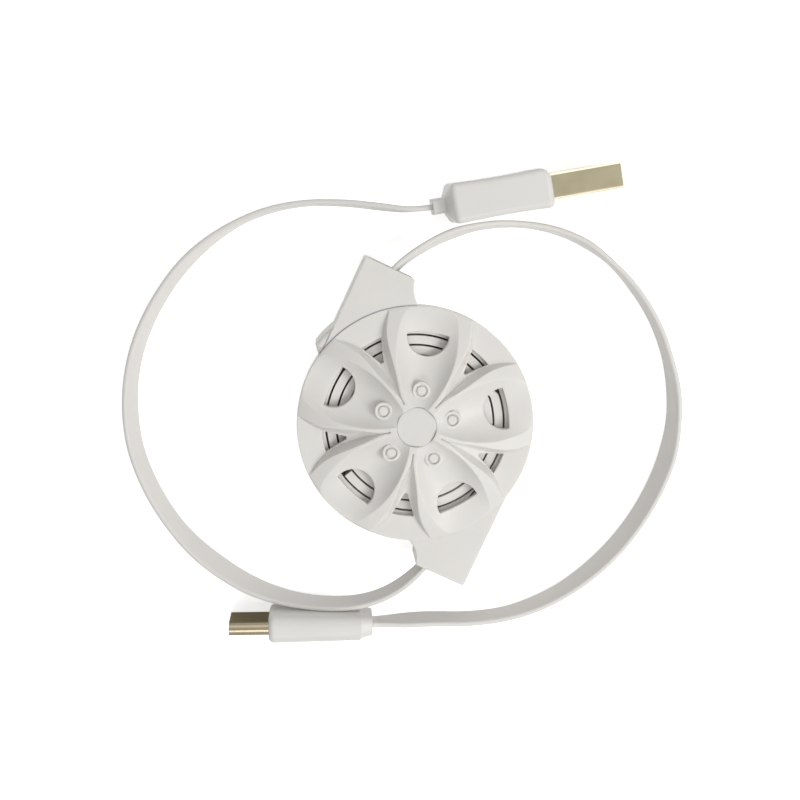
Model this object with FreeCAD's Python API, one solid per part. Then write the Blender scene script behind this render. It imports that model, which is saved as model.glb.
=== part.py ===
"""Two-way retractable flat USB cable: a wheel-shaped reel with a USB-A and a USB-C plug.

Millimetres. The origin is on the reel's axis at its back face, +Z is out of the wheel face.
"""

import FreeCAD, Part
import math
import os

from FreeCAD import Vector

os.makedirs("parts", exist_ok=True)

# Reel case
wheel_radius = 20.6        # outside of the wheel's rim
case_inset = 0.6           # back shell inside the rim
case_wall = 1.4
floor_thickness = 1.4
back_edge_round = 1.2
parting_height = 1.9       # joint between the two shells, above the spool's flange
ceiling_gap = 0.3          # wound cable to the underside of the wheel face
face_thickness = 1.0       # wheel face at its thinnest
crown_height = 3.7         # hub above the rim
skirt_wall = 1.3           # the wheel's side wall below the rim
lip_height = 0.8           # locating lip of the back shell inside the skirt
fit_gap = 0.1              # between moulded pieces that seat in each other

# Spouts, in a frame whose X runs out of the spout and whose Y points to its outer side
spout_angle = 65.0         # direction of the upper spout
spout_width = 9.4
spout_flare = 2.9          # how much wider the spout is where it meets the rim
spout_length = 3.6         # from there to its end face
spout_hollow = 0.55        # hollow of its inner side
spout_corner = 0.4
spout_edge = 0.12
spout_roof = 0.85          # over the cable in the upper spout
lower_spout_drop = 0.05    # top of the lower spout, below the rim
mouth_wall = 0.9           # side walls of the cable channel
channel_over = 0.15        # channel above the cable
channel_under = 0.4        # channel below the cable
root_bulge = 2.2           # thickened wall at the root of the upper spout
root_bulge_from = 126.0
root_bulge_to = 141.0
root_bulge_taper = 8.0
root_bulge_drop = 0.3      # its top below the spout's
root_bulge_round = 0.8

# Wheel face
spoke_count = 5
first_dish_angle = 10.2
hub_flat_radius = 4.2
crown_rise = 0.7           # how far the spokes bulge above a straight cone
spoke_rise = 0.2           # spokes above the rim where they turn down to it
tyre_width = 0.4           # sloped outer edge that the spokes turn down to
tyre_drop = 0.05           # lower end of that edge below the rim
run_out = 1.2              # cutters end this far outside the rim
least_depth = 0.2          # cutters reach at least this far above their floor
# Each dish section is (distance from the axis, half width, floor height above the rim)
dish_sections = [
    (2.9, 1.2, 3.3),
    (6.5, 3.4, 1.9),
    (10.7, 4.85, 0.5),
    (14.0, 5.25, 0.1),
    (17.0, 5.05, 0.0),
    (19.4, 4.35, 0.0),
    (wheel_radius + run_out, 3.4, 0.0),
]
# Each groove section is (distance, half width at the crest, half width of the floor, floor height)
groove_sections = [
    (4.6, 0.15, 0.05, 3.35),
    (8.6, 0.9, 0.3, 2.0),
    (12.8, 1.95, 0.95, 0.4),
    (16.3, 3.05, 2.25, 0.0),
    (19.6, 5.35, 5.1, 0.0),
    (wheel_radius + run_out, 7.0, 6.8, 0.0),
]
window_outer = 16.3
big_window_inner = 12.0
big_window_half_angle = 13.0
small_window_inner = 12.2
small_window_half_angle = 6.8
small_window_tip = 0.25
lug_circle = 6.3
lug_radius = 1.5
lug_height = 0.75
lug_ring = 0.45
lug_button = 0.75
lug_recess = 0.3           # between the ring and the button
hub_cap_radius = 3.4
hub_cap_thickness = 1.0
hub_cap_drop = 0.35        # cap below the hub's face
hub_cap_chamfer = 0.06

# Screw, arbor and spool
arbor_radius = 2.2
thrust_radius = 4.0
running_gap = 0.08
screw_radius = 0.9
screw_head_radius = 1.9
screw_head_height = 1.2
screw_seat = 1.8           # wheel face under the screw's head
screw_length = 5.5
drive_slot = 0.5
drive_reach = 1.3
flange_gap = 1.4           # flange to the case wall
flange_thickness = 1.4
least_drum_radius = 5.7
drum_wall = 1.0
sleeve_wall = 0.8
sleeve_height = 1.2

# Lock track under the flange, and the pawl that follows it
track_rim = 4.8            # flange's edge to the track
track_depth = 0.8
cam_count = 4
cam_half_angle = 26.0
cam_cup_angle = 3.0
cam_width = 1.0
lane_gap = 0.35            # follower to the sides of its lane
pawl_reach = 4.7           # pivot to follower, along the lane
pawl_width = 1.8
pawl_thickness = 0.8
pawl_under = 0.05
pawl_over = 0.45
pawl_post_radius = 0.8
pawl_post_drop = 0.2       # post ends below the flange
pawl_boss_wall = 0.6
follower_radius = 0.5
follower_drop = 0.35       # follower ends below the track's bottom

# Mainspring
spring_strip = 0.2
spring_gap = 0.3           # above the sleeve and below the drum's rim
spring_pitch = 0.9
spring_start_gap = 0.15
spring_room = 0.4          # to the drum

# Flat cable
cable_width = 4.6
cable_thickness = 1.45
cable_lift = 0.2           # cable edge above the flange
turn_gap = 0.35
turn_step_angle = 28.0     # where each layer steps out over the one below
turn_step_half = 9.0
lead_room = 1.425          # last turn to the case wall
lead_gap = 0.35            # last turn to the coil
lead_wrap = 172.0
lead_pass = 0.3            # where one end passes under the other's way out

# Free cable, points chosen by hand
route_a = [
    (4.94, -21.62, 6.6), (2.6452, -24.8961, 6.6), (-0.75, -28.55, 6.4), (-5.0, -31.6, 6.0),
    (-10.2, -33.2, 5.4), (-16.4, -33.55, 4.6), (-22.8, -32.7, 3.8), (-29.0, -30.4, 3.1),
    (-34.6, -26.9, 2.6), (-39.6, -22.5, 2.4), (-43.8, -17.2, 2.35), (-47.1, -11.4, 2.36),
    (-49.4, -5.0, 2.35), (-50.3, 1.8, 2.36), (-49.8, 8.6, 2.35), (-47.9, 15.2, 2.36),
    (-44.6, 21.6, 2.35), (-40.1, 27.7, 2.4), (-34.3, 32.8, 2.6), (-27.4, 36.4, 3.2),
    (-19.8, 38.2, 4.2), (-12.2, 38.2, 5.4), (-6.0, 37.4, 6.6), (-0.56, 36.77, 7.6),
    (2.88, 37.36, 7.6),
]
route_c = [
    (-6.44, 22.31, 6.6), (-4.9813, 24.9411, 6.6), (-2.4, 27.75, 6.5), (1.3, 30.3, 6.2),
    (6.2, 32.75, 5.6), (11.8, 34.3, 4.9), (18.0, 34.9, 4.1), (24.4, 33.9, 3.4),
    (30.4, 31.4, 2.8), (35.4, 27.4, 2.45), (39.4, 22.7, 2.35), (42.8, 17.2, 2.36),
    (45.1, 11.2, 2.35), (46.6, 4.9, 2.36), (46.9, -1.5, 2.35), (46.0, -7.7, 2.36),
    (43.8, -13.6, 2.35), (40.7, -19.2, 2.36), (36.5, -24.6, 2.35), (31.2, -29.4, 2.4),
    (24.8, -33.4, 2.6), (17.4, -36.1, 3.1), (9.8, -37.0, 3.9), (3.0, -36.75, 4.6),
    (-3.0, -36.85, 5.0), (-7.5, -36.85, 5.0),
]

# USB-A plug, lying on its narrow side
usb_a_mould_length = 17.9
usb_a_mould_thickness = 7.0
usb_a_mould_width = 15.2
usb_a_mould_round = 1.0
usb_a_nose_round = 2.0               # one front corner
usb_a_waist = 0.25                   # hollow of the wide sides at mid length
usb_a_collar_length = 2.2
usb_a_collar_thickness = 2.7
usb_a_collar_width = 7.0
usb_a_collar_round = 0.9
usb_a_shoulder = 0.8                 # slope between collar and overmould
usb_a_shoulder_step = 0.3            # its small end outside the collar
usb_a_shoulder_sink = 0.3            # its large end inside the overmould
usb_a_shoulder_inset = 0.33
usb_a_shell_length = 12.0            # outside the overmould
usb_a_shell_depth = 6.5              # inside the overmould
usb_a_shell_thickness = 4.5
usb_a_shell_width = 12.0
usb_a_shell_wall = 0.3
usb_a_shell_round = 0.5
usb_a_mouth_depth = 8.65
usb_a_tongue = 1.84
usb_a_tongue_side = 0.3
usb_a_tongue_setback = 0.3
usb_a_hole = 2.3                     # catch holes in the wide faces
usb_a_hole_setback = 6.3
usb_a_hole_spacing = 5.8
usb_a_inner_contacts = 2.0           # spacing of the two short contacts
usb_a_outer_contacts = 7.0           # spacing of the two long contacts
usb_a_inner_contact_length = 6.4
usb_a_outer_contact_length = 7.4
usb_a_contact_width = 1.0

# USB-C plug, lying on its narrow side
usb_c_mould_length = 16.4
usb_c_mould_thickness = 4.8
usb_c_mould_width = 10.0
usb_c_mould_round = 2.0
usb_c_nose_round = 1.0
usb_c_nose_flare = 0.5               # overmould thicker at its nose
usb_c_tail_length = 2.1
usb_c_tail_thickness = 3.4           # at the cable
usb_c_tail_width = 7.6
usb_c_tail_step = 0.3
usb_c_shell_length = 7.0
usb_c_shell_depth = 4.0
usb_c_shell_thickness = 2.4
usb_c_shell_width = 8.25
usb_c_shell_wall = 0.3
usb_c_slot_depth = 5.6
usb_c_slot_thickness = 0.9
usb_c_slot_width = 6.7
usb_c_setback = 0.2
usb_c_contact_pitch = 0.5
usb_c_contact_count = 12             # in each of two rows
usb_c_contact_width = 0.25
usb_c_contact_length = 4.2
usb_c_latch_length = 4.0
usb_c_latch_height = 0.6
usb_c_latch_thickness = 0.2
contact_thickness = 0.1
least_flat = 0.005                   # straight side left between two round corners
seat_gap = 0.03                      # shell in its overmould, insulator in its shell

# Heights and radii that follow
flange_z = floor_thickness + pawl_under + pawl_thickness + pawl_over
flange_top = flange_z + flange_thickness
cable_bottom = flange_top + cable_lift
cable_middle = cable_bottom + cable_width / 2
cable_top = cable_bottom + cable_width
parting_z = flange_top + parting_height
ceiling_z = cable_top + ceiling_gap
rim_z = ceiling_z + face_thickness
hub_z = rim_z + crown_height
channel_bottom = cable_bottom - channel_under
channel_top = cable_top + channel_over
upper_spout_z = channel_top + spout_roof
screw_seat_z = ceiling_z + screw_seat
spring_bottom = flange_top + sleeve_height + spring_gap
spring_top = cable_top - spring_gap
case_radius = wheel_radius - case_inset
cavity_radius = case_radius - case_wall
crown_end_radius = wheel_radius - tyre_width
crown_end_z = rim_z + spoke_rise
spout_outer = case_radius
spout_inner = spout_outer - spout_width
spout_foot = spout_inner - spout_flare
spout_end = math.sqrt(wheel_radius ** 2 - spout_foot ** 2) + spout_length
flange_radius = cavity_radius - flange_gap
lead_radius = cavity_radius - lead_room - cable_thickness / 2
turn_pitch = cable_thickness + turn_gap
coil_radius = lead_radius - cable_thickness / 2 - lead_gap
turn_layers = int((coil_radius - least_drum_radius - fit_gap + turn_gap) / turn_pitch)
drum_radius = coil_radius - turn_layers * turn_pitch + turn_gap - fit_gap
lane_width = 2 * (follower_radius + lane_gap)
track_outer = flange_radius - track_rim
cam_outer = track_outer - lane_width
cam_inner = cam_outer - cam_width
track_inner = cam_inner - lane_width
inner_lane = track_inner + lane_width / 2
outer_lane = track_outer - lane_width / 2

Z = Vector(0, 0, 1)
ORIGIN = Vector(0, 0, 0)
SHORT_OF_CORNER = 1 - math.sqrt(0.5)
pawl_pivot = Vector((inner_lane + outer_lane) / 2, -pawl_reach, 0)


def save(name, shape):
    """Write one sub-part."""
    shape.exportStep("parts/" + name + ".step")


def polar(radius, degrees, z=0.0):
    """Point at a radius and an angle."""
    a = math.radians(degrees)
    return Vector(radius * math.cos(a), radius * math.sin(a), z)


def line(a, b):
    return Part.LineSegment(a, b).toShape()


def arc(a, b, c):
    return Part.Arc(a, b, c).toShape()


def end_of(edges):
    """Last point of a run of edges."""
    return edges[-1].Vertexes[-1].Point


def face(edges):
    """Flat face inside a closed run of edges."""
    return Part.Face(Part.Wire(edges))


def chain(points):
    """Closed run of straight edges."""
    return [line(a, b) for a, b in zip(points, points[1:] + points[:1])]


def raised(plan, z0, z1):
    """Plan at Z 0 made solid between two heights."""
    plan.translate(Vector(0, 0, z0))
    return plan.extrude(Vector(0, 0, z1 - z0))


def cylinder(radius, z0, z1, x=0.0, y=0.0):
    return Part.makeCylinder(radius, z1 - z0, Vector(x, y, z0))


def box(x0, x1, y0, y1, z0, z1):
    return Part.makeBox(x1 - x0, y1 - y0, z1 - z0, Vector(x0, y0, z0))


def turned(shape, degrees):
    """Copy of a shape turned about the reel's axis."""
    copy = shape.copy()
    copy.rotate(ORIGIN, Z, degrees)
    return copy


def revolved(edges):
    """Solid of revolution of a closed profile in the XZ plane."""
    return face(edges).revolve(ORIGIN, Z, 360)


def bulged(a, b, rise):
    """Arc between two points of the XZ plane that bulges up by a rise."""
    across = Vector(a.z - b.z, 0, b.x - a.x).normalize()
    return arc(a, (a + b) * 0.5 + across * rise, b)


def crown():
    """Line of the spokes' tops, from the hub to where they turn down to the rim."""
    return bulged(Vector(hub_flat_radius, 0, hub_z), Vector(crown_end_radius, 0, crown_end_z), crown_rise)


def crown_z(radius):
    """Height of the uncut wheel face at a radius."""
    reach = min(max(radius, hub_flat_radius), crown_end_radius)
    circle = crown().Curve
    return circle.Center.z + math.sqrt(circle.Radius ** 2 - (reach - circle.Center.x) ** 2)


def spout(round_to, z0, z1, eased_z):
    """Solid spout that flares into a round body, with its free edges eased at one height."""
    corner = Vector(spout_end, spout_outer, 0)
    tip = Vector(spout_end, spout_inner, 0)
    foot = Vector(math.sqrt(round_to ** 2 - spout_foot ** 2), spout_foot, 0)
    way = (foot - tip).normalize()
    hollow = (tip + foot) * 0.5 + Vector(way.y, -way.x, 0) * spout_hollow
    plan = face([
        line(Vector(0, spout_outer, 0), corner),
        line(corner, tip),
        arc(tip, hollow, foot),
        line(foot, ORIGIN),
        line(ORIGIN, Vector(0, spout_outer, 0)),
    ])
    solid = raised(plan, z0, z1)
    upright = [e for e in solid.Edges if all(abs(v.X - spout_end) < 1e-6 for v in e.Vertexes)
               and abs(e.Vertexes[0].Z - e.Vertexes[-1].Z) > 1e-6]
    solid = solid.makeFillet(spout_corner, upright)
    eased = []
    for edge in solid.Edges:
        level = all(abs(v.Z - eased_z) < 1e-6 for v in edge.Vertexes)
        free = all(math.hypot(v.X, v.Y) > 1e-6 for v in edge.Vertexes)
        if level and free:
            eased.append(edge)
    return solid.makeChamfer(spout_edge, eased)


def channel():
    """Cable passage through a spout, in the spout's own frame."""
    return box(arbor_radius, spout_end + run_out, spout_inner + mouth_wall, spout_outer - mouth_wall,
               channel_bottom, channel_top)


def root_bulge_solid():
    """Thickened wall where the upper spout leaves the round case."""
    radius = case_radius + root_bulge
    taper_to = root_bulge_to + root_bulge_taper
    plan = face([
        arc(polar(radius, root_bulge_from), polar(radius, (root_bulge_from + root_bulge_to) / 2),
            polar(radius, root_bulge_to)),
        line(polar(radius, root_bulge_to), polar(cavity_radius, taper_to)),
        line(polar(cavity_radius, taper_to), polar(cavity_radius, root_bulge_from)),
        line(polar(cavity_radius, root_bulge_from), polar(radius, root_bulge_from)),
    ])
    top = upper_spout_z - root_bulge_drop
    solid = raised(plan, 0, top)
    outer = [e for e in solid.Edges
             if e.CenterOfMass.Length > case_radius and abs(e.CenterOfMass.z - top) < 1e-6]
    solid = solid.makeFillet(root_bulge_round, outer)
    return solid.cut(cylinder(wheel_radius + seat_gap, parting_z, hub_z))


def make_rear_cover():
    r = case_radius
    b = back_edge_round
    s = b * SHORT_OF_CORNER
    shell = revolved([
        line(ORIGIN, Vector(r - b, 0, 0)),
        arc(Vector(r - b, 0, 0), Vector(r - s, 0, s), Vector(r, 0, b)),
        line(Vector(r, 0, b), Vector(r, 0, parting_z)),
        line(Vector(r, 0, parting_z), Vector(0, 0, parting_z)),
        line(Vector(0, 0, parting_z), ORIGIN),
    ])
    floor = spout(r, 0, parting_z, 0)
    upper = spout(r, parting_z, upper_spout_z, upper_spout_z)
    upper = upper.cut(cylinder(wheel_radius + seat_gap, 0, hub_z))
    body = shell.multiFuse([
        turned(floor, spout_angle),
        turned(floor, spout_angle + 180),
        turned(upper, spout_angle),
        root_bulge_solid(),
    ])
    body = body.cut(cylinder(cavity_radius, floor_thickness, hub_z))
    lip = cylinder(wheel_radius - skirt_wall - fit_gap, parting_z, parting_z + lip_height)
    body = body.fuse(lip.cut(cylinder(cavity_radius, 0, hub_z)))
    for angle in (spout_angle, spout_angle + 180):
        body = body.cut(turned(channel(), angle))
    arbor = cylinder(arbor_radius, floor_thickness, ceiling_z)
    thrust = cylinder(thrust_radius, floor_thickness, flange_z - running_gap)
    post = cylinder(pawl_post_radius, floor_thickness, flange_z - pawl_post_drop,
                    pawl_pivot.x, pawl_pivot.y)
    body = body.multiFuse([arbor, thrust, post])
    body = body.cut(cylinder(screw_radius, screw_seat_z - screw_length, ceiling_z))
    slit = box(0, arbor_radius + fit_gap, 0, spring_strip, spring_bottom, ceiling_z)
    return body.cut(slit).removeSplitter()


def dish_cutter():
    """Scooped hollow between two spokes, along +X."""
    top = hub_z + run_out
    wires = []
    for x, half, height in dish_sections:
        floor = rim_z + height
        crest = max(crown_z(math.hypot(x, half)), floor + least_depth)
        left = Vector(x, -half, crest)
        right = Vector(x, half, crest)
        left_top = Vector(x, -half, top)
        right_top = Vector(x, half, top)
        wires.append(Part.Wire([
            arc(left, Vector(x, 0, floor), right),
            line(right, right_top),
            line(right_top, left_top),
            line(left_top, left),
        ]))
    return Part.makeLoft(wires, True, False)


def groove_cutter():
    """Flared groove between the two arms of a spoke, along +X."""
    top = hub_z + run_out
    wires = []
    for x, half, floor_half, height in groove_sections:
        floor = rim_z + height
        crest = max(crown_z(math.hypot(x, half)), floor + least_depth)
        wires.append(Part.Wire(chain([
            Vector(x, -floor_half, floor),
            Vector(x, floor_half, floor),
            Vector(x, half, crest),
            Vector(x, half, top),
            Vector(x, -half, top),
            Vector(x, -half, crest),
        ])))
    return Part.makeLoft(wires, True, False)


def big_window():
    """Window in a dish: round at its inner end, following the rim at its outer one."""
    a = big_window_half_angle
    plan = face([
        arc(polar(window_outer, -a), polar(window_outer, 0), polar(window_outer, a)),
        arc(polar(window_outer, a), polar(big_window_inner, 0), polar(window_outer, -a)),
    ])
    return raised(plan, parting_z, hub_z)


def small_window():
    """Three-cornered window in a groove."""
    a = small_window_half_angle
    left = Vector(small_window_inner, -small_window_tip, 0)
    right = Vector(small_window_inner, small_window_tip, 0)
    plan = face([
        arc(polar(window_outer, -a), polar(window_outer, 0), polar(window_outer, a)),
        line(polar(window_outer, a), right),
        line(right, left),
        line(left, polar(window_outer, -a)),
    ])
    return raised(plan, parting_z, hub_z)


def lug_boss():
    """Imitation wheel bolt: a ring with a button in it, standing in a dish."""
    base = rim_z + dish_sections[1][2]
    top = base + lug_height
    recess = cylinder(lug_radius - lug_ring, top - lug_recess, top).cut(cylinder(lug_button, base, top))
    boss = cylinder(lug_radius, ceiling_z, top).cut(recess)
    boss.translate(Vector(lug_circle, 0, 0))
    return boss


def make_front_cover():
    r = wheel_radius
    tyre_z = rim_z - tyre_drop
    body = revolved([
        line(Vector(0, 0, parting_z), Vector(r, 0, parting_z)),
        line(Vector(r, 0, parting_z), Vector(r, 0, tyre_z)),
        line(Vector(r, 0, tyre_z), Vector(crown_end_radius, 0, crown_end_z)),
        crown(),
        line(Vector(hub_flat_radius, 0, hub_z), Vector(0, 0, hub_z)),
        line(Vector(0, 0, hub_z), Vector(0, 0, parting_z)),
    ])
    pitch = 360.0 / spoke_count
    angles = [first_dish_angle + k * pitch for k in range(spoke_count)]
    dish = dish_cutter()
    groove = groove_cutter()
    for angle in angles:
        body = body.cut(turned(dish, angle))
        body = body.cut(turned(groove, angle + pitch / 2))
    roof_z = rim_z - lower_spout_drop
    body = body.fuse(turned(spout(r, parting_z, roof_z, roof_z), spout_angle + 180))
    body = body.multiFuse([turned(lug_boss(), angle) for angle in angles])
    body = body.cut(cylinder(r - skirt_wall, 0, ceiling_z))
    for angle in (spout_angle, spout_angle + 180):
        body = body.cut(turned(channel(), angle))
    for angle in angles:
        body = body.cut(turned(big_window(), angle))
        body = body.cut(turned(small_window(), angle + pitch / 2))
    recess_z = hub_z - hub_cap_drop - hub_cap_thickness
    body = body.cut(cylinder(hub_cap_radius + seat_gap, recess_z, hub_z + run_out))
    body = body.cut(cylinder(screw_head_radius + fit_gap, screw_seat_z, hub_z))
    body = body.cut(cylinder(screw_radius + fit_gap, 0, screw_seat_z))
    return body.removeSplitter()


def make_hub_cap():
    top = hub_z - hub_cap_drop
    cap = cylinder(hub_cap_radius, top - hub_cap_thickness, top)
    rim = [e for e in cap.Edges if abs(e.CenterOfMass.z - top) < 1e-6]
    return cap.makeChamfer(hub_cap_chamfer, rim)


def make_centre_screw():
    top = screw_seat_z + screw_head_height
    shank = cylinder(screw_radius, screw_seat_z - screw_length, screw_seat_z)
    head = cylinder(screw_head_radius, screw_seat_z, top)
    slot = box(-drive_reach, drive_reach, -drive_slot / 2, drive_slot / 2, top - drive_slot, top)
    return shank.fuse(head).cut(slot.fuse(turned(slot, 90)))


def lock_cam():
    """One cam of the lock track, with the cup that catches the follower, about +X."""
    a = cam_half_angle
    cup = polar((cam_inner + cam_outer) / 2, cam_cup_angle - a)
    plan = face([
        arc(polar(cam_inner, -a), polar(cam_inner, 0), polar(cam_inner, a)),
        line(polar(cam_inner, a), polar(cam_outer, a)),
        arc(polar(cam_outer, a), polar(cam_outer, 0), polar(cam_outer, -a)),
        line(polar(cam_outer, -a), cup),
        line(cup, polar(cam_inner, -a)),
    ])
    return raised(plan, flange_z, flange_z + track_depth)


def make_spool():
    sleeve = arbor_radius + running_gap + sleeve_wall
    body = cylinder(flange_radius, flange_z, flange_top)
    body = body.fuse(cylinder(drum_radius, flange_top, cable_top))
    body = body.cut(cylinder(drum_radius - drum_wall, flange_top, cable_top))
    body = body.fuse(cylinder(sleeve, flange_top, flange_top + sleeve_height))
    body = body.cut(cylinder(arbor_radius + running_gap, 0, cable_top))
    track = cylinder(track_outer, flange_z, flange_z + track_depth)
    track = track.cut(cylinder(track_inner, flange_z, flange_z + track_depth))
    for k in range(cam_count):
        track = track.cut(turned(lock_cam(), (k + 0.5) * 360.0 / cam_count))
    body = body.cut(track)
    slot = box(sleeve, drum_radius + fit_gap, 0, turn_pitch, flange_top, cable_top)
    for angle in (turn_step_angle, turn_step_angle + 180):
        body = body.cut(turned(slot, angle))
    return body.removeSplitter()


def make_lock_pawl():
    """Arm that swings on its post, with the follower at its end."""
    bottom = floor_thickness + pawl_under
    top = bottom + pawl_thickness
    tip = Vector(outer_lane, 0, 0)
    length = (tip - pawl_pivot).Length
    half = pawl_width / 2
    boss = cylinder(pawl_post_radius + running_gap + pawl_boss_wall, bottom, top)
    arm = boss.multiFuse([
        box(0, length, -half, half, bottom, top),
        cylinder(half, bottom, top, length),
        cylinder(follower_radius, bottom, flange_z + track_depth - follower_drop, length),
    ])
    arm = arm.cut(cylinder(pawl_post_radius + running_gap, 0, hub_z)).removeSplitter()
    arm = turned(arm, math.degrees(math.atan2(tip.y - pawl_pivot.y, tip.x - pawl_pivot.x)))
    arm.translate(pawl_pivot)
    return arm


def make_mainspring():
    """Spiral strip of half circles about two centres, its inner end bent into the arbor's slit."""
    step = spring_pitch / 2
    first = arbor_radius + spring_start_gap + spring_pitch / 4
    room = drum_radius - drum_wall - spring_room - spring_strip - spring_pitch / 4 - first
    outer = []
    inner = []
    for k in range(int(room / step) + 1):
        side = 1 if k % 2 == 0 else -1
        centre = Vector(-side * spring_pitch / 4, 0, 0)
        for radius, edges in ((first + k * step + spring_strip, outer), (first + k * step, inner)):
            across = Vector(side * radius, 0, 0)
            edges.append(arc(centre + across, centre + Vector(0, side * radius, 0), centre - across))
    start_in = inner[0].Vertexes[0].Point
    start_out = outer[0].Vertexes[0].Point
    outline = outer + [line(end_of(outer), end_of(inner))] + inner[::-1] + [line(start_in, start_out)]
    coil = raised(face(outline), spring_bottom, spring_top)
    hook = box(screw_radius + spring_gap, start_out.x, 0, spring_strip, spring_bottom, spring_top)
    return coil.fuse(hook).removeSplitter()


def make_wound_cable():
    """Both ends of the cable wound together: half turns that step out one layer at two places."""
    first = drum_radius + fit_gap
    sweep = 180 - 2 * turn_step_half
    arms = []
    for side in (0, 180):
        outer = []
        inner = []
        for k in range(turn_layers):
            begin = side + 180 - 180 * k - turn_step_half
            for radius, edges in ((first + k * turn_pitch + cable_thickness, outer),
                                  (first + k * turn_pitch, inner)):
                if edges:
                    edges.append(line(end_of(edges), polar(radius, begin)))
                edges.append(arc(polar(radius, begin), polar(radius, begin - sweep / 2),
                                 polar(radius, begin - sweep)))
        far = line(end_of(outer), end_of(inner))
        near = line(inner[0].Vertexes[0].Point, outer[0].Vertexes[0].Point)
        arms.append(raised(face(outer + [far] + inner[::-1] + [near]), cable_bottom, cable_top))
    return turned(Part.makeCompound(arms), turn_step_angle)


def ribbon(path, start, heading):
    """Flat cable on edge along a path, from a start point and a level heading."""
    side = Vector(-heading.y, heading.x, 0).normalize() * (cable_thickness / 2)
    rise = Vector(0, 0, cable_width / 2)
    profile = Part.Wire(chain([
        start - side - rise,
        start + side - rise,
        start + side + rise,
        start - side + rise,
    ]))
    sweep = Part.BRepOffsetAPI.MakePipeShell(path)
    sweep.setBiNormalMode(Z)
    sweep.add(profile)
    sweep.build()
    sweep.makeSolid()
    return sweep.shape()


def leave_angle(cable_end):
    """Where a cable leaves the coil in a straight line to a point."""
    reach = math.hypot(cable_end[0], cable_end[1])
    return math.degrees(math.atan2(cable_end[1], cable_end[0]) + math.acos(lead_radius / reach))


def make_lead(cable_end, other_end):
    """Last part turn around the coil and the straight run to where the free cable starts."""
    last = leave_angle(cable_end)
    first = last + lead_wrap
    begin = polar(lead_radius, first, cable_middle)
    leave = polar(lead_radius, last, cable_middle)
    path = Part.Wire([
        arc(begin, polar(lead_radius, (first + last) / 2, cable_middle), leave),
        line(leave, Vector(cable_end[0], cable_end[1], cable_middle)),
    ])
    lead = ribbon(path, begin, polar(1, first - 90))
    way_out = box(lead_radius - cable_thickness / 2 - lead_pass, wheel_radius, -wheel_radius, 0, 0, hub_z)
    return lead.cut(turned(way_out, leave_angle(other_end)))


def routed_path(name, points, share=0.45):
    """Straight runs joined by tangent arcs that start a share of the shorter run from the corner."""
    edges = []
    radii = []
    last = points[0]
    for a, b, c in zip(points, points[1:], points[2:]):
        before = a - b
        after = c - b
        tangent = share * min(before.Length, after.Length)
        half_turn = (math.pi - before.getAngle(after)) / 2
        radius = tangent / math.tan(half_turn)
        enter = b + before.normalize() * tangent
        leave = b + after.normalize() * tangent
        inward = (before + after).normalize()
        edges.append(line(last, enter))
        edges.append(arc(enter, b + inward * (radius / math.cos(half_turn) - radius), leave))
        radii.append(round(radius, 1))
        last = leave
    edges.append(line(last, points[-1]))
    print(name, "bend radii", radii)
    return Part.Wire(edges)


def make_free_cable(name, route):
    points = [Vector(*p) for p in route]
    path = routed_path(name, points)
    shape = ribbon(path, points[0], points[1] - points[0])
    share = shape.Volume / (path.Length * cable_width * cable_thickness)
    print(name, "length", round(path.Length, 1), "volume over section times length", round(share, 3))
    return shape


def rounded_section(x, thickness, width, corner):
    """Rounded rectangle across X."""
    y = thickness / 2
    z = width / 2
    c = min(corner, (min(thickness, width) - least_flat) / 2)
    s = c * SHORT_OF_CORNER
    edges = []
    for sy, sz in ((1, 1), (-1, 1), (-1, -1), (1, -1)):
        on_side = Vector(x, sy * y, sz * (z - c))
        on_edge = Vector(x, sy * (y - c), sz * z)
        first, last = (on_side, on_edge) if sy == sz else (on_edge, on_side)
        if edges:
            edges.append(line(end_of(edges), first))
        edges.append(arc(first, Vector(x, sy * (y - s), sz * (z - s)), last))
    edges.append(line(end_of(edges), edges[0].Vertexes[0].Point))
    return Part.Wire(edges)


def bar(x0, x1, thickness, width, corner):
    """Bar along X with a rounded rectangular section."""
    return Part.Face(rounded_section(x0, thickness, width, corner)).extrude(Vector(x1 - x0, 0, 0))


def save_plug(pieces, route, width):
    """Write a plug's pieces, moved from the plug's own frame to the end of its cable."""
    end = Vector(*route[-1])
    heading = end - Vector(*route[-2])
    for name, shape in pieces.items():
        copy = turned(shape, math.degrees(math.atan2(heading.y, heading.x)))
        copy.translate(Vector(end.x, end.y, width / 2))
        save(name, copy)


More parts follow.
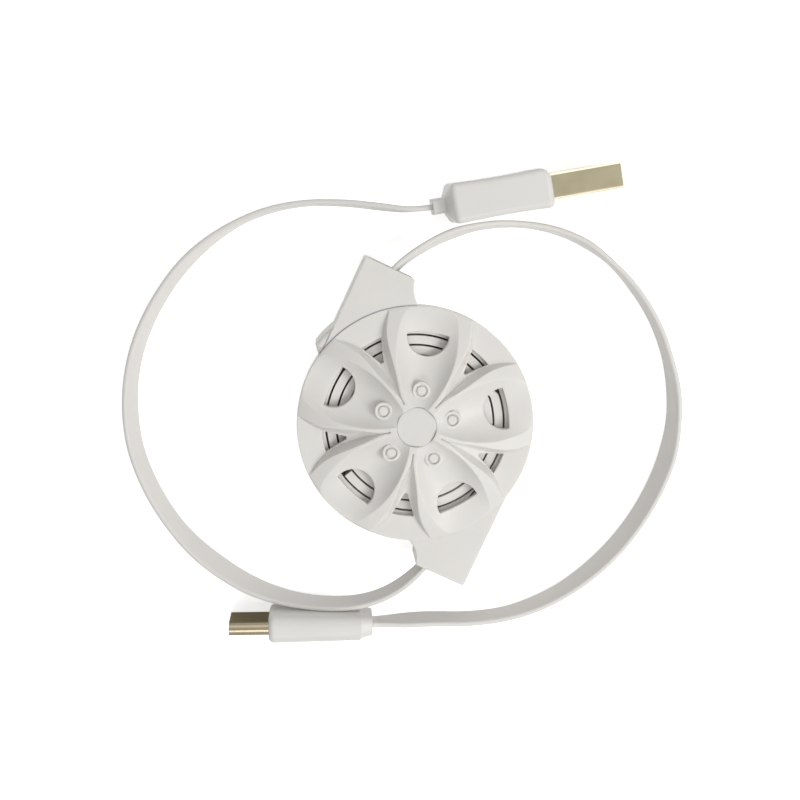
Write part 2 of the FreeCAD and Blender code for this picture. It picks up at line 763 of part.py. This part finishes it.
def make_usb_a():
    """The plug's frame has its axis along +X from the end of the cable."""
    rear = usb_a_collar_length
    front = rear + usb_a_mould_length
    tip = front + usb_a_shell_length
    shell_back = front - usb_a_shell_depth
    t = usb_a_shell_thickness
    w = usb_a_shell_width
    wall = usb_a_shell_wall
    half_t = usb_a_mould_thickness / 2
    half_w = usb_a_mould_width / 2
    back = rear + usb_a_shoulder
    middle = (back + front) / 2
    waist = half_t - usb_a_waist
    plan = face([
        line(Vector(back, half_t, 0), Vector(back, -half_t, 0)),
        arc(Vector(back, -half_t, 0), Vector(middle, -waist, 0), Vector(front, -half_t, 0)),
        line(Vector(front, -half_t, 0), Vector(front, half_t, 0)),
        arc(Vector(front, half_t, 0), Vector(middle, waist, 0), Vector(back, half_t, 0)),
    ])
    mould = raised(plan, -half_w, half_w)
    nose = [e for e in mould.Edges if e.CenterOfMass.distanceToPoint(Vector(front, half_t, 0)) < 1e-6]
    mould = mould.makeFillet(usb_a_nose_round, nose)
    others = [e for e in mould.Edges if abs(e.CenterOfMass.z) > 1e-6
              or e.CenterOfMass.x < back + 1e-6 or e.CenterOfMass.y < 1e-6 - half_t]
    mould = mould.makeFillet(usb_a_mould_round, others)
    inset = 2 * usb_a_shoulder_inset
    step = 2 * usb_a_shoulder_step
    shoulder = Part.makeLoft([
        rounded_section(rear, usb_a_collar_thickness + step, usb_a_collar_width + step,
                        usb_a_collar_round + usb_a_shoulder_step),
        rounded_section(back + usb_a_shoulder_sink, usb_a_mould_thickness - inset,
                        usb_a_mould_width - inset, usb_a_mould_round),
    ], True, True)
    collar = bar(0, back, usb_a_collar_thickness, usb_a_collar_width, usb_a_collar_round)
    mould = mould.multiFuse([shoulder, collar])
    mould = mould.cut(bar(shell_back, tip, t + 2 * seat_gap, w + 2 * seat_gap, usb_a_shell_round))

    inside_t = t - 2 * wall
    inside_w = w - 2 * wall
    inside_round = usb_a_shell_round - wall
    shell = bar(shell_back, tip, t, w, usb_a_shell_round)
    shell = shell.cut(bar(shell_back, tip, inside_t, inside_w, inside_round))
    hole_x = tip - usb_a_hole_setback
    hole_half = usb_a_hole / 2
    for z in (-usb_a_hole_spacing / 2, usb_a_hole_spacing / 2):
        shell = shell.cut(box(hole_x - hole_half, hole_x + hole_half, -t, t, z - hole_half, z + hole_half))

    base = tip - usb_a_mouth_depth
    block_t = inside_t - 2 * seat_gap
    block_w = inside_w - 2 * seat_gap
    tongue_y = -block_t / 2
    face_y = tongue_y + usb_a_tongue
    tongue_half = block_w / 2 - usb_a_tongue_side
    insulator = bar(shell_back, base, block_t, block_w, inside_round)
    insulator = insulator.fuse(box(base, tip - usb_a_tongue_setback, tongue_y, face_y,
                                   -tongue_half, tongue_half))

    contacts = []
    half_contact = usb_a_contact_width / 2
    for spacing, length in ((usb_a_inner_contacts, usb_a_inner_contact_length),
                            (usb_a_outer_contacts, usb_a_outer_contact_length)):
        for z in (-spacing / 2, spacing / 2):
            contacts.append(box(base, base + length, face_y, face_y + contact_thickness,
                                z - half_contact, z + half_contact))
    save_plug({
        "usb_a_overmould": mould.removeSplitter(),
        "usb_a_shell": shell,
        "usb_a_insulator": insulator.removeSplitter(),
        "usb_a_contacts": Part.makeCompound(contacts),
    }, route_a, usb_a_mould_width)


def make_usb_c():
    """The plug's frame has its axis along +X from the end of the cable."""
    rear = usb_c_tail_length
    front = rear + usb_c_mould_length
    tip = front + usb_c_shell_length
    shell_back = front - usb_c_shell_depth
    t = usb_c_shell_thickness
    w = usb_c_shell_width
    wall = usb_c_shell_wall
    step = 2 * usb_c_tail_step
    mould = Part.makeLoft([
        rounded_section(rear, usb_c_mould_thickness, usb_c_mould_width, usb_c_mould_round),
        rounded_section(front, usb_c_mould_thickness + usb_c_nose_flare, usb_c_mould_width,
                        usb_c_mould_round),
    ], True, True)
    nose = [e for e in mould.Edges if abs(e.CenterOfMass.x - front) < 1e-6]
    mould = mould.makeFillet(usb_c_nose_round, nose)
    tail = Part.makeLoft([
        rounded_section(0, usb_c_tail_thickness, usb_c_tail_width,
                        usb_c_tail_thickness / 2 - usb_c_tail_step),
        rounded_section(rear, usb_c_mould_thickness - step, usb_c_mould_width - step,
                        usb_c_mould_round - usb_c_tail_step),
    ], True, True)
    mould = mould.fuse(tail)
    mould = mould.cut(bar(shell_back, tip, t + 2 * seat_gap, w + 2 * seat_gap, t / 2 + seat_gap))

    inside_t = t - 2 * wall
    inside_w = w - 2 * wall
    shell = bar(shell_back, tip, t, w, t / 2)
    shell = shell.cut(bar(shell_back, tip, inside_t, inside_w, inside_t / 2))

    lip = tip - usb_c_setback
    slot_back = lip - usb_c_slot_depth
    slot_half_t = usb_c_slot_thickness / 2
    slot_half_w = usb_c_slot_width / 2
    insulator = bar(shell_back, lip, inside_t - 2 * seat_gap, inside_w - 2 * seat_gap,
                    inside_t / 2 - seat_gap)
    insulator = insulator.cut(box(slot_back, tip, -slot_half_t, slot_half_t, -slot_half_w, slot_half_w))

    contacts = []
    half_contact = usb_c_contact_width / 2
    first = -(usb_c_contact_count - 1) / 2 * usb_c_contact_pitch
    for y in (-slot_half_t, slot_half_t - contact_thickness):
        for k in range(usb_c_contact_count):
            z = first + k * usb_c_contact_pitch
            contacts.append(box(slot_back, slot_back + usb_c_contact_length, y, y + contact_thickness,
                                z - half_contact, z + half_contact))
    latches = []
    half_latch = usb_c_latch_height / 2
    for z in (-slot_half_w, slot_half_w - usb_c_latch_thickness):
        latches.append(box(slot_back, slot_back + usb_c_latch_length, -half_latch, half_latch,
                           z, z + usb_c_latch_thickness))
    save_plug({
        "usb_c_overmould": mould.removeSplitter(),
        "usb_c_shell": shell,
        "usb_c_insulator": insulator,
        "usb_c_contacts": Part.makeCompound(contacts),
        "usb_c_latches": Part.makeCompound(latches),
    }, route_c, usb_c_mould_width)


save("rear_cover", make_rear_cover())
save("front_cover", make_front_cover())
save("hub_cap", make_hub_cap())
save("centre_screw", make_centre_screw())
save("spool", make_spool())
save("mainspring", make_mainspring())
save("lock_pawl", make_lock_pawl())
save("wound_cable", make_wound_cable())
save("cable_lead_a", make_lead(route_a[0], route_c[0]))
save("cable_lead_c", make_lead(route_c[0], route_a[0]))
save("cable_a", make_free_cable("cable_a", route_a))
save("cable_c", make_free_cable("cable_c", route_c))
make_usb_a()
make_usb_c()
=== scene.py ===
import math

import bpy
from mathutils import Matrix, Vector


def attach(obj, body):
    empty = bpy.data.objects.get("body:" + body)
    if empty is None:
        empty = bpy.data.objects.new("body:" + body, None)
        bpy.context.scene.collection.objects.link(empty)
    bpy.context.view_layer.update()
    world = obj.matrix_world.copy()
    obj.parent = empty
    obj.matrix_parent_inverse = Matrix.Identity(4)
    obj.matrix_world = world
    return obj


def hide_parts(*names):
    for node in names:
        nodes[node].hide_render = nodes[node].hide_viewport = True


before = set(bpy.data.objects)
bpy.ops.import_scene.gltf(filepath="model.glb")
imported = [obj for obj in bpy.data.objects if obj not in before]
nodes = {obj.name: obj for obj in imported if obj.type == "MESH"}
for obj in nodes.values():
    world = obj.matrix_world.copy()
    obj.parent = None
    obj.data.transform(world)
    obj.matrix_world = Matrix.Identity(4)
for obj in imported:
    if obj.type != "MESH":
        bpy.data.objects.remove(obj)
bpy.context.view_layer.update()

# Sizes in metres
cable_width = 0.0046
cable_thickness = 0.00095
cable_corner = 0.0004
edge_round = 0.0003        # shading radius of moulded edges
case_edge = 0.00025        # the same on the reel
thin_edge = 0.0001         # the same on small and flat pieces
sheet_edge = 0.0002        # the same on bent sheet metal
floor_half = 3.0
floor_drop = 0.0001        # floor below the part's lowest face

# Plastic: colour and roughness drift over patches, under a fine moulded grain
plastic_drift = 0.012      # share of the colour
plastic_patch = 0.012
plastic_rough_patch = 0.004
grain_size = 0.00022
grain_depth = 0.000012
grain_strength = 0.5
plastic_gloss = 0.4
milky_skin = 0.08          # share of the light that spreads below the skin
milky_case = 0.75          # the same on the reel
milky_reach = (0.00075, 0.00065, 0.00055)    # how far, for red, green and blue

# Metal: the same drift, under draw marks that run along the piece
metal_drift = 0.04
metal_patch = 0.004
metal_rough_patch = 0.0015
mark_scale = 9000.0        # draw marks per metre, across them
mark_stretch = 0.03        # their scale along the piece against across it
mark_depth = 0.000004
mark_strength = 0.25

# Camera of the photograph: its place, and the direction from the scene back to it, in pixels
half_picture = 400
focal_length = 1400
camera_place = (-0.01468, 0.03851, 0.24972)
camera_back = (-70, 200, focal_length)
camera_sensor = 36
camera_near = 0.01

# Light: each lamp is (place, side of its square, watts)
world_light = 0.275
floor_colour = (0.9, 0.9, 0.9, 1)
floor_glow = 0.62          # added to how the floor looks, so that it reads as white
far_glow = 0.85            # the same far off, where the lamps don't reach
glow_reach = (0.12, 0.45)  # distances from the reel between which it rises
white = (1, 1, 1, 1)
lamps = {
    "key": ((0.42, -0.11, 0.55), 0.3, 2.5),
    "front": ((0.0, -0.43, 0.62), 0.32, 1.3),
    "back": ((-0.1, 0.55, 0.48), 0.6, 1.0),
}

# Free cable: the route's points, and its lean outward as (share of the way, degrees)
route_a = [
    (0.00494, -0.02162, 0.0066), (0.0026452, -0.0248961, 0.0066), (-0.00075, -0.02855, 0.0064),
    (-0.0051, -0.0315, 0.006), (-0.0102, -0.0332, 0.0054), (-0.0164, -0.03355, 0.0046),
    (-0.0228, -0.0327, 0.0038), (-0.0291, -0.0306, 0.0031), (-0.0348, -0.0271, 0.0026),
    (-0.0399, -0.0228, 0.0024), (-0.0441, -0.0174, 0.00235), (-0.0473, -0.0115, 0.00236),
    (-0.0496, -0.005, 0.00235), (-0.0503, 0.0018, 0.00236), (-0.0498, 0.0086, 0.00235),
    (-0.0479, 0.0152, 0.00236), (-0.0446, 0.0216, 0.00235), (-0.0401, 0.0277, 0.0024),
    (-0.0342, 0.0327, 0.0026), (-0.0274, 0.0363, 0.0032), (-0.0198, 0.0381, 0.0042),
    (-0.0122, 0.0381, 0.0054), (-0.006, 0.0374, 0.0066), (-0.00056, 0.03677, 0.0076),
    (0.00288, 0.03736, 0.0076),
]
lean_a = [
    (0.0, 0), (0.08, 9), (0.17, 14), (0.3, 33), (0.38, 24), (0.5, 23.5), (0.58, 20.5), (0.69, 19),
    (0.8, 6), (0.86, 4.5), (0.94, 6.5), (1.0, 0),
]
route_c = [
    (-0.00644, 0.02231, 0.0066), (-0.0049813, 0.0249411, 0.0066), (-0.0024, 0.02775, 0.0065),
    (0.0013, 0.0303, 0.0062), (0.0062, 0.03275, 0.0056), (0.0118, 0.0342, 0.0049),
    (0.018, 0.0345, 0.0041), (0.0243, 0.0336, 0.0034), (0.0303, 0.0313, 0.0028),
    (0.0355, 0.0275, 0.00245), (0.0397, 0.0229, 0.00235), (0.0433, 0.0174, 0.00236),
    (0.0457, 0.0114, 0.00235), (0.0472, 0.005, 0.00236), (0.0474, -0.0015, 0.00235),
    (0.0463, -0.0078, 0.00236), (0.044, -0.0137, 0.00235), (0.0409, -0.0193, 0.00236),
    (0.0367, -0.0248, 0.00235), (0.0314, -0.0297, 0.0024), (0.025, -0.0338, 0.0026),
    (0.0175, -0.0364, 0.0031), (0.0098, -0.037, 0.0039), (0.003, -0.03655, 0.0046),
    (-0.003, -0.03675, 0.005), (-0.0075, -0.03685, 0.005),
]
lean_c = [
    (0.0, 0), (0.04, 11), (0.11, 16.5), (0.15, 9), (0.19, 5.5), (0.27, 8), (0.31, 0), (0.36, 5), (0.43, 6),
    (0.5, 15.5), (0.57, 26), (0.69, 24.5), (0.79, 16.5), (0.85, 11.5), (0.95, 13), (1.0, 0),
]


def add_node(tree, kind, place, **values):
    """New shader node with its sockets set by name."""
    node = tree.nodes.new(kind)
    node.location = place
    for socket, value in values.items():
        node.inputs[socket.replace("_", " ")].default_value = value
    return node


def new_material(name):
    """Empty node material with its Principled shader and its tree."""
    material = bpy.data.materials.new(name)
    material.use_nodes = True
    tree = material.node_tree
    return material, tree, tree.nodes["Principled BSDF"]


def mottled(tree, shader, colour, spread, size):
    """Base colour that drifts a little, over patches of a size in metres."""
    coords = add_node(tree, "ShaderNodeTexCoord", (-1100, 300))
    noise = add_node(tree, "ShaderNodeTexNoise", (-900, 300), Scale=1 / size, Detail=3.0)
    ramp = add_node(tree, "ShaderNodeValToRGB", (-600, 300))
    ramp.color_ramp.elements[0].position = 0.3
    ramp.color_ramp.elements[1].position = 0.7
    ramp.color_ramp.elements[0].color = tuple(c * (1 - spread) for c in colour) + (1,)
    ramp.color_ramp.elements[1].color = tuple(min(1, c * (1 + spread)) for c in colour) + (1,)
    tree.links.new(coords.outputs["Object"], noise.inputs["Vector"])
    tree.links.new(noise.outputs["Fac"], ramp.inputs["Fac"])
    tree.links.new(ramp.outputs["Color"], shader.inputs["Base Color"])
    return coords


def varied_roughness(tree, shader, coords, low, high, size):
    """Roughness between two values, over patches of a size in metres."""
    noise = add_node(tree, "ShaderNodeTexNoise", (-900, 0), Scale=1 / size, Detail=4.0)
    spread = add_node(tree, "ShaderNodeMapRange", (-600, 0), To_Min=low, To_Max=high)
    tree.links.new(coords.outputs["Object"], noise.inputs["Vector"])
    tree.links.new(noise.outputs["Fac"], spread.inputs["Value"])
    tree.links.new(spread.outputs["Result"], shader.inputs["Roughness"])


def grained(tree, shader, coords, size, depth, rounding):
    """Fine moulded grain over edges that are rounded off in the shading."""
    noise = add_node(tree, "ShaderNodeTexNoise", (-900, -300), Scale=1 / size, Detail=2.0)
    bump = add_node(tree, "ShaderNodeBump", (-300, -300), Strength=grain_strength, Distance=depth)
    bevel = add_node(tree, "ShaderNodeBevel", (-600, -500), Radius=rounding)
    bevel.samples = 8
    tree.links.new(coords.outputs["Object"], noise.inputs["Vector"])
    tree.links.new(noise.outputs["Fac"], bump.inputs["Height"])
    tree.links.new(bevel.outputs["Normal"], bump.inputs["Normal"])
    tree.links.new(bump.outputs["Normal"], shader.inputs["Normal"])


def plastic(name, colour, low, high, rounding=edge_round, milky=milky_skin):
    """Moulded plastic whose roughness lies between low and high."""
    material, tree, shader = new_material(name)
    coords = mottled(tree, shader, colour, plastic_drift, plastic_patch)
    varied_roughness(tree, shader, coords, low, high, plastic_rough_patch)
    grained(tree, shader, coords, grain_size, grain_depth, rounding)
    shader.inputs["Specular IOR Level"].default_value = plastic_gloss
    shader.inputs["Subsurface Weight"].default_value = milky
    shader.inputs["Subsurface Scale"].default_value = 1.0
    shader.inputs["Subsurface Radius"].default_value = milky_reach
    return material


def painted_light_by_slope(tree, shader, coords, painted_light_stops):
    """Painted highlight and shade: base colour multiplied by stops of (steepness from wall 0 to level 1,
    colour), so that faces look lit or shaded by how they lie.
    """
    parts = add_node(tree, "ShaderNodeSeparateXYZ", (-900, 700))
    level = add_node(tree, "ShaderNodeMath", (-700, 700))
    level.operation = "ABSOLUTE"
    ramp = add_node(tree, "ShaderNodeValToRGB", (-500, 700))
    elements = ramp.color_ramp.elements
    while len(elements) < len(painted_light_stops):
        elements.new(1.0)
    for element, (place, colour) in zip(elements, painted_light_stops):
        element.position = place
        element.color = colour + (1,)
    mix = add_node(tree, "ShaderNodeMix", (-200, 500))
    mix.data_type = "RGBA"
    mix.blend_type = "MULTIPLY"
    mix.inputs["Factor"].default_value = 1.0
    plain = shader.inputs["Base Color"].links[0].from_socket
    tree.links.new(coords.outputs["Normal"], parts.inputs[0])
    tree.links.new(parts.outputs["Z"], level.inputs[0])
    tree.links.new(level.outputs[0], ramp.inputs["Fac"])
    tree.links.new(plain, mix.inputs[6])
    tree.links.new(ramp.outputs["Color"], mix.inputs[7])
    tree.links.new(mix.outputs[2], shader.inputs["Base Color"])


def metal(name, colour, low, high, along, edge_tint=1.0, painted_light_stops=None):
    """Plated sheet metal whose roughness lies between low and high, with draw marks along a heading, and
    painted highlight and shade by slope where stops are given.
    """
    material, tree, shader = new_material(name)
    coords = mottled(tree, shader, colour, metal_drift, metal_patch)
    # Painted highlight and shade, by how level each face lies.
    if painted_light_stops:
        painted_light_by_slope(tree, shader, coords, painted_light_stops)
    varied_roughness(tree, shader, coords, low, high, metal_rough_patch)
    shader.inputs["Metallic"].default_value = 1.0
    shader.inputs["Specular Tint"].default_value = (edge_tint, edge_tint, edge_tint, 1)
    turn = add_node(tree, "ShaderNodeMapping", (-1100, -300))
    turn.inputs["Rotation"].default_value = (0, 0, -along)
    turn.inputs["Scale"].default_value = (mark_stretch, 1, 1)
    noise = add_node(tree, "ShaderNodeTexNoise", (-900, -300), Scale=mark_scale, Detail=2.0)
    bump = add_node(tree, "ShaderNodeBump", (-300, -300), Strength=mark_strength, Distance=mark_depth)
    bevel = add_node(tree, "ShaderNodeBevel", (-600, -500), Radius=sheet_edge)
    tree.links.new(coords.outputs["Object"], turn.inputs["Vector"])
    tree.links.new(turn.outputs["Vector"], noise.inputs["Vector"])
    tree.links.new(noise.outputs["Fac"], bump.inputs["Height"])
    tree.links.new(bevel.outputs["Normal"], bump.inputs["Normal"])
    tree.links.new(bump.outputs["Normal"], shader.inputs["Normal"])
    return material


def dress(material, *names):
    """Give CAD nodes one material."""
    for name in names:
        nodes[name].data.materials.clear()
        nodes[name].data.materials.append(material)


def route_line(points):
    """Points of the smooth line that a route's points control."""
    curve = bpy.data.curves.new("route", "CURVE")
    curve.dimensions = "3D"
    curve.resolution_u = 10
    spline = curve.splines.new("NURBS")
    spline.points.add(len(points) - 1)
    for target, point in zip(spline.points, points):
        target.co = (*point, 1)
    spline.order_u = 3
    spline.use_endpoint_u = True
    holder = bpy.data.objects.new("route", curve)
    mesh = bpy.data.meshes.new_from_object(holder)
    line = [v.co.copy() for v in mesh.vertices]
    bpy.data.objects.remove(holder)
    bpy.data.curves.remove(curve)
    bpy.data.meshes.remove(mesh)
    return line


def between(stations, share):
    """Value at a share of the way, eased between stations of (share, value)."""
    for (a, low), (b, high) in zip(stations, stations[1:]):
        if share <= b:
            t = (share - a) / (b - a)
            return low + (high - low) * t * t * (3 - 2 * t)
    return stations[-1][1]


def cable_section(steps=4):
    """Outline of the flat cable, as (across, up) from its middle."""
    outline = []
    for k, (sx, sz) in enumerate(((1, 1), (-1, 1), (-1, -1), (1, -1))):
        cx = sx * (cable_thickness / 2 - cable_corner)
        cz = sz * (cable_width / 2 - cable_corner)
        for i in range(steps + 1):
            a = math.radians(90 * (k + i / steps))
            outline.append((cx + cable_corner * math.cos(a), cz + cable_corner * math.sin(a)))
    return outline


def ribbon(name, line, lean):
    """Flat cable on edge along a line that runs clockwise, so that it leans outward to the left."""
    upright = Vector((0, 0, 1))
    section = cable_section()
    count = len(section)
    lengths = [0.0]
    for a, b in zip(line, line[1:]):
        lengths.append(lengths[-1] + (b - a).length)
    vertices = []
    for k, point in enumerate(line):
        travel = line[min(k + 1, len(line) - 1)] - line[max(k - 1, 0)]
        right = Vector((travel.y, -travel.x, 0)).normalized()
        tilt = -math.radians(between(lean, lengths[k] / lengths[-1]))
        up = upright * math.cos(tilt) + right * math.sin(tilt)
        across = right * math.cos(tilt) - upright * math.sin(tilt)
        vertices += [point + across * x + up * z for x, z in section]
    faces = []
    for k in range(len(line) - 1):
        for i in range(count):
            j = (i + 1) % count
            faces.append((k * count + i, k * count + j, (k + 1) * count + j, (k + 1) * count + i))
    faces.append(tuple(range(count)))
    faces.append(tuple(reversed(range((len(line) - 1) * count, len(line) * count))))
    mesh = bpy.data.meshes.new(name)
    mesh.from_pydata(vertices, [], faces)
    for polygon in mesh.polygons[:-2]:
        polygon.use_smooth = True
    mesh.update()
    piece = bpy.data.objects.new(name, mesh)
    bpy.context.scene.collection.objects.link(piece)
    return piece, lengths[-1]


def add_cable(node, route, lean):
    """One free end of the cable, in place of its CAD solid."""
    line = route_line(route)
    piece, length = ribbon(node + "_ribbon", line, lean)
    piece.data.materials.append(cable_white)
    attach(piece, "case")
    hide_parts(node)


def add_camera():
    """Camera at the photograph's place, with +Y up in the picture."""
    back = Vector(camera_back).normalized()
    up = Vector((0, 1, 0))
    up = (up - back * up.dot(back)).normalized()
    right = up.cross(back)
    data = bpy.data.cameras.new("camera")
    data.sensor_width = camera_sensor
    data.lens = camera_sensor / 2 * focal_length / half_picture
    data.clip_start = camera_near
    camera = bpy.data.objects.new("camera", data)
    turn = Matrix((right, up, back)).transposed().to_4x4()
    camera.matrix_world = Matrix.Translation(camera_place) @ turn
    bpy.context.scene.collection.objects.link(camera)
    bpy.context.scene.camera = camera


def shown(tree, lighting, seen):
    """One strength for the light that something gives, another for how it looks and is mirrored."""
    path = add_node(tree, "ShaderNodeLightPath", (-1100, 600))
    rays = path.outputs["Is Camera Ray"]
    for k, kind in enumerate(("Is Glossy Ray", "Is Transmission Ray")):
        either = add_node(tree, "ShaderNodeMath", (-850 + 200 * k, 600))
        either.operation = "MAXIMUM"
        tree.links.new(rays, either.inputs[0])
        tree.links.new(path.outputs[kind], either.inputs[1])
        rays = either.outputs[0]
    strength = add_node(tree, "ShaderNodeMapRange", (-400, 600), To_Min=lighting, To_Max=seen)
    tree.links.new(rays, strength.inputs["Value"])
    return strength.outputs["Result"]


def add_floor():
    """White floor that keeps a soft shadow, and looks as white far off."""
    mesh = bpy.data.meshes.new("floor")
    half = floor_half
    corners = [(-half, -half, 0), (half, -half, 0), (half, half, 0), (-half, half, 0)]
    mesh.from_pydata(corners, [], [(0, 1, 2, 3)])
    floor = bpy.data.objects.new("floor", mesh)
    floor.location.z = -floor_drop
    bpy.context.scene.collection.objects.link(floor)
    material, tree, shader = new_material("floor_white")
    shader.inputs["Base Color"].default_value = floor_colour
    shader.inputs["Roughness"].default_value = 1.0
    shader.inputs["Specular IOR Level"].default_value = 0.0
    shader.inputs["Emission Color"].default_value = white
    glow = shown(tree, 0.0, floor_glow)
    coords = add_node(tree, "ShaderNodeTexCoord", (-1100, 200))
    distance = add_node(tree, "ShaderNodeVectorMath", (-850, 200))
    distance.operation = "LENGTH"
    rise = add_node(tree, "ShaderNodeMapRange", (-650, 200), From_Min=glow_reach[0],
                    From_Max=glow_reach[1], To_Min=floor_glow, To_Max=far_glow)
    tree.links.new(coords.outputs["Object"], distance.inputs[0])
    tree.links.new(distance.outputs["Value"], rise.inputs["Value"])
    tree.links.new(rise.outputs["Result"], glow.node.inputs["To Max"])
    tree.links.new(glow, shader.inputs["Emission Strength"])
    mesh.materials.append(material)


def add_lamp(name, place, target, size, power):
    """Square area lamp that points at a target."""
    data = bpy.data.lights.new(name, "AREA")
    data.size = size
    data.energy = power
    lamp = bpy.data.objects.new(name, data)
    lamp.location = place
    lamp.rotation_euler = (Vector(target) - Vector(place)).to_track_quat("-Z", "Y").to_euler()
    bpy.context.scene.collection.objects.link(lamp)


def add_world():
    """Even light from all round, which looks white."""
    world = bpy.data.worlds.new("studio")
    world.use_nodes = True
    tree = world.node_tree
    background = tree.nodes["Background"]
    background.inputs["Color"].default_value = white
    tree.links.new(shown(tree, world_light, 1.0), background.inputs["Strength"])
    bpy.context.scene.world = world


case_white = plastic("case_white", (0.755, 0.74, 0.708), 0.4, 0.52, case_edge, milky_case)
spool_white = plastic("spool_white", (0.72, 0.705, 0.675), 0.5, 0.6)
plug_white = plastic("plug_white", (0.745, 0.73, 0.7), 0.36, 0.46)
cable_white = plastic("cable_white", (0.74, 0.72, 0.69), 0.5, 0.6, thin_edge)
insulator_white = plastic("insulator_white", (0.74, 0.735, 0.72), 0.5, 0.6, thin_edge)
insulator_black = plastic("insulator_black", (0.02, 0.02, 0.02), 0.45, 0.55, thin_edge)
heading_a = math.atan2(route_a[-1][1] - route_a[-2][1], route_a[-1][0] - route_a[-2][0])
# Colour multipliers by slope for the plug metals: painted highlight, and painted shade on flat faces and
# walls.
painted_highlight = (1.0, 1.0, 1.0)
painted_shade_flat = (0.42, 0.4, 0.355)
painted_shade_side = (0.65, 0.62, 0.54)
painted_half_shade = (0.85, 0.85, 0.85)
# USB-A shell: painted highlight lines on its rounded edges, painted shade on its flat top and sides.
plug_nickel = metal("plug_nickel", (0.8, 0.75, 0.58), 0.25, 0.34, heading_a, 1.0, [
    (0.0, painted_shade_flat), (0.08, painted_highlight), (0.9, painted_highlight), (0.99, painted_shade_flat),
])
# USB-C shell: painted shade on its upright wide faces, painted highlight along its rounded narrow top.
plug_bronze = metal("plug_bronze", (0.29, 0.25, 0.175), 0.2, 0.28, 0.0, 0.4, [
    (0.0, painted_shade_side), (0.15, painted_shade_side), (0.45, painted_half_shade), (0.8, painted_highlight),
])
contact_gold = metal("contact_gold", (0.83, 0.62, 0.28), 0.2, 0.3, 0.0)
steel = metal("steel", (0.6, 0.6, 0.6), 0.25, 0.35, 0.0)

dress(case_white, "front_cover", "rear_cover", "hub_cap")
dress(spool_white, "spool", "lock_pawl")
dress(cable_white, "wound_cable", "cable_lead_a", "cable_lead_c")
dress(plug_white, "usb_a_overmould", "usb_c_overmould")
dress(plug_nickel, "usb_a_shell")
dress(plug_bronze, "usb_c_shell")
dress(insulator_white, "usb_a_insulator")
dress(insulator_black, "usb_c_insulator")
dress(contact_gold, "usb_a_contacts", "usb_c_contacts")
dress(steel, "centre_screw", "mainspring", "usb_c_latches")

add_camera()
add_cable("cable_a", route_a, lean_a)
add_cable("cable_c", route_c, lean_c)
add_floor()
add_world()
for name, (place, size, power) in lamps.items():
    add_lamp(name, place, (0, 0, 0), size, power)
bpy.context.scene.view_settings.view_transform = "Standard"
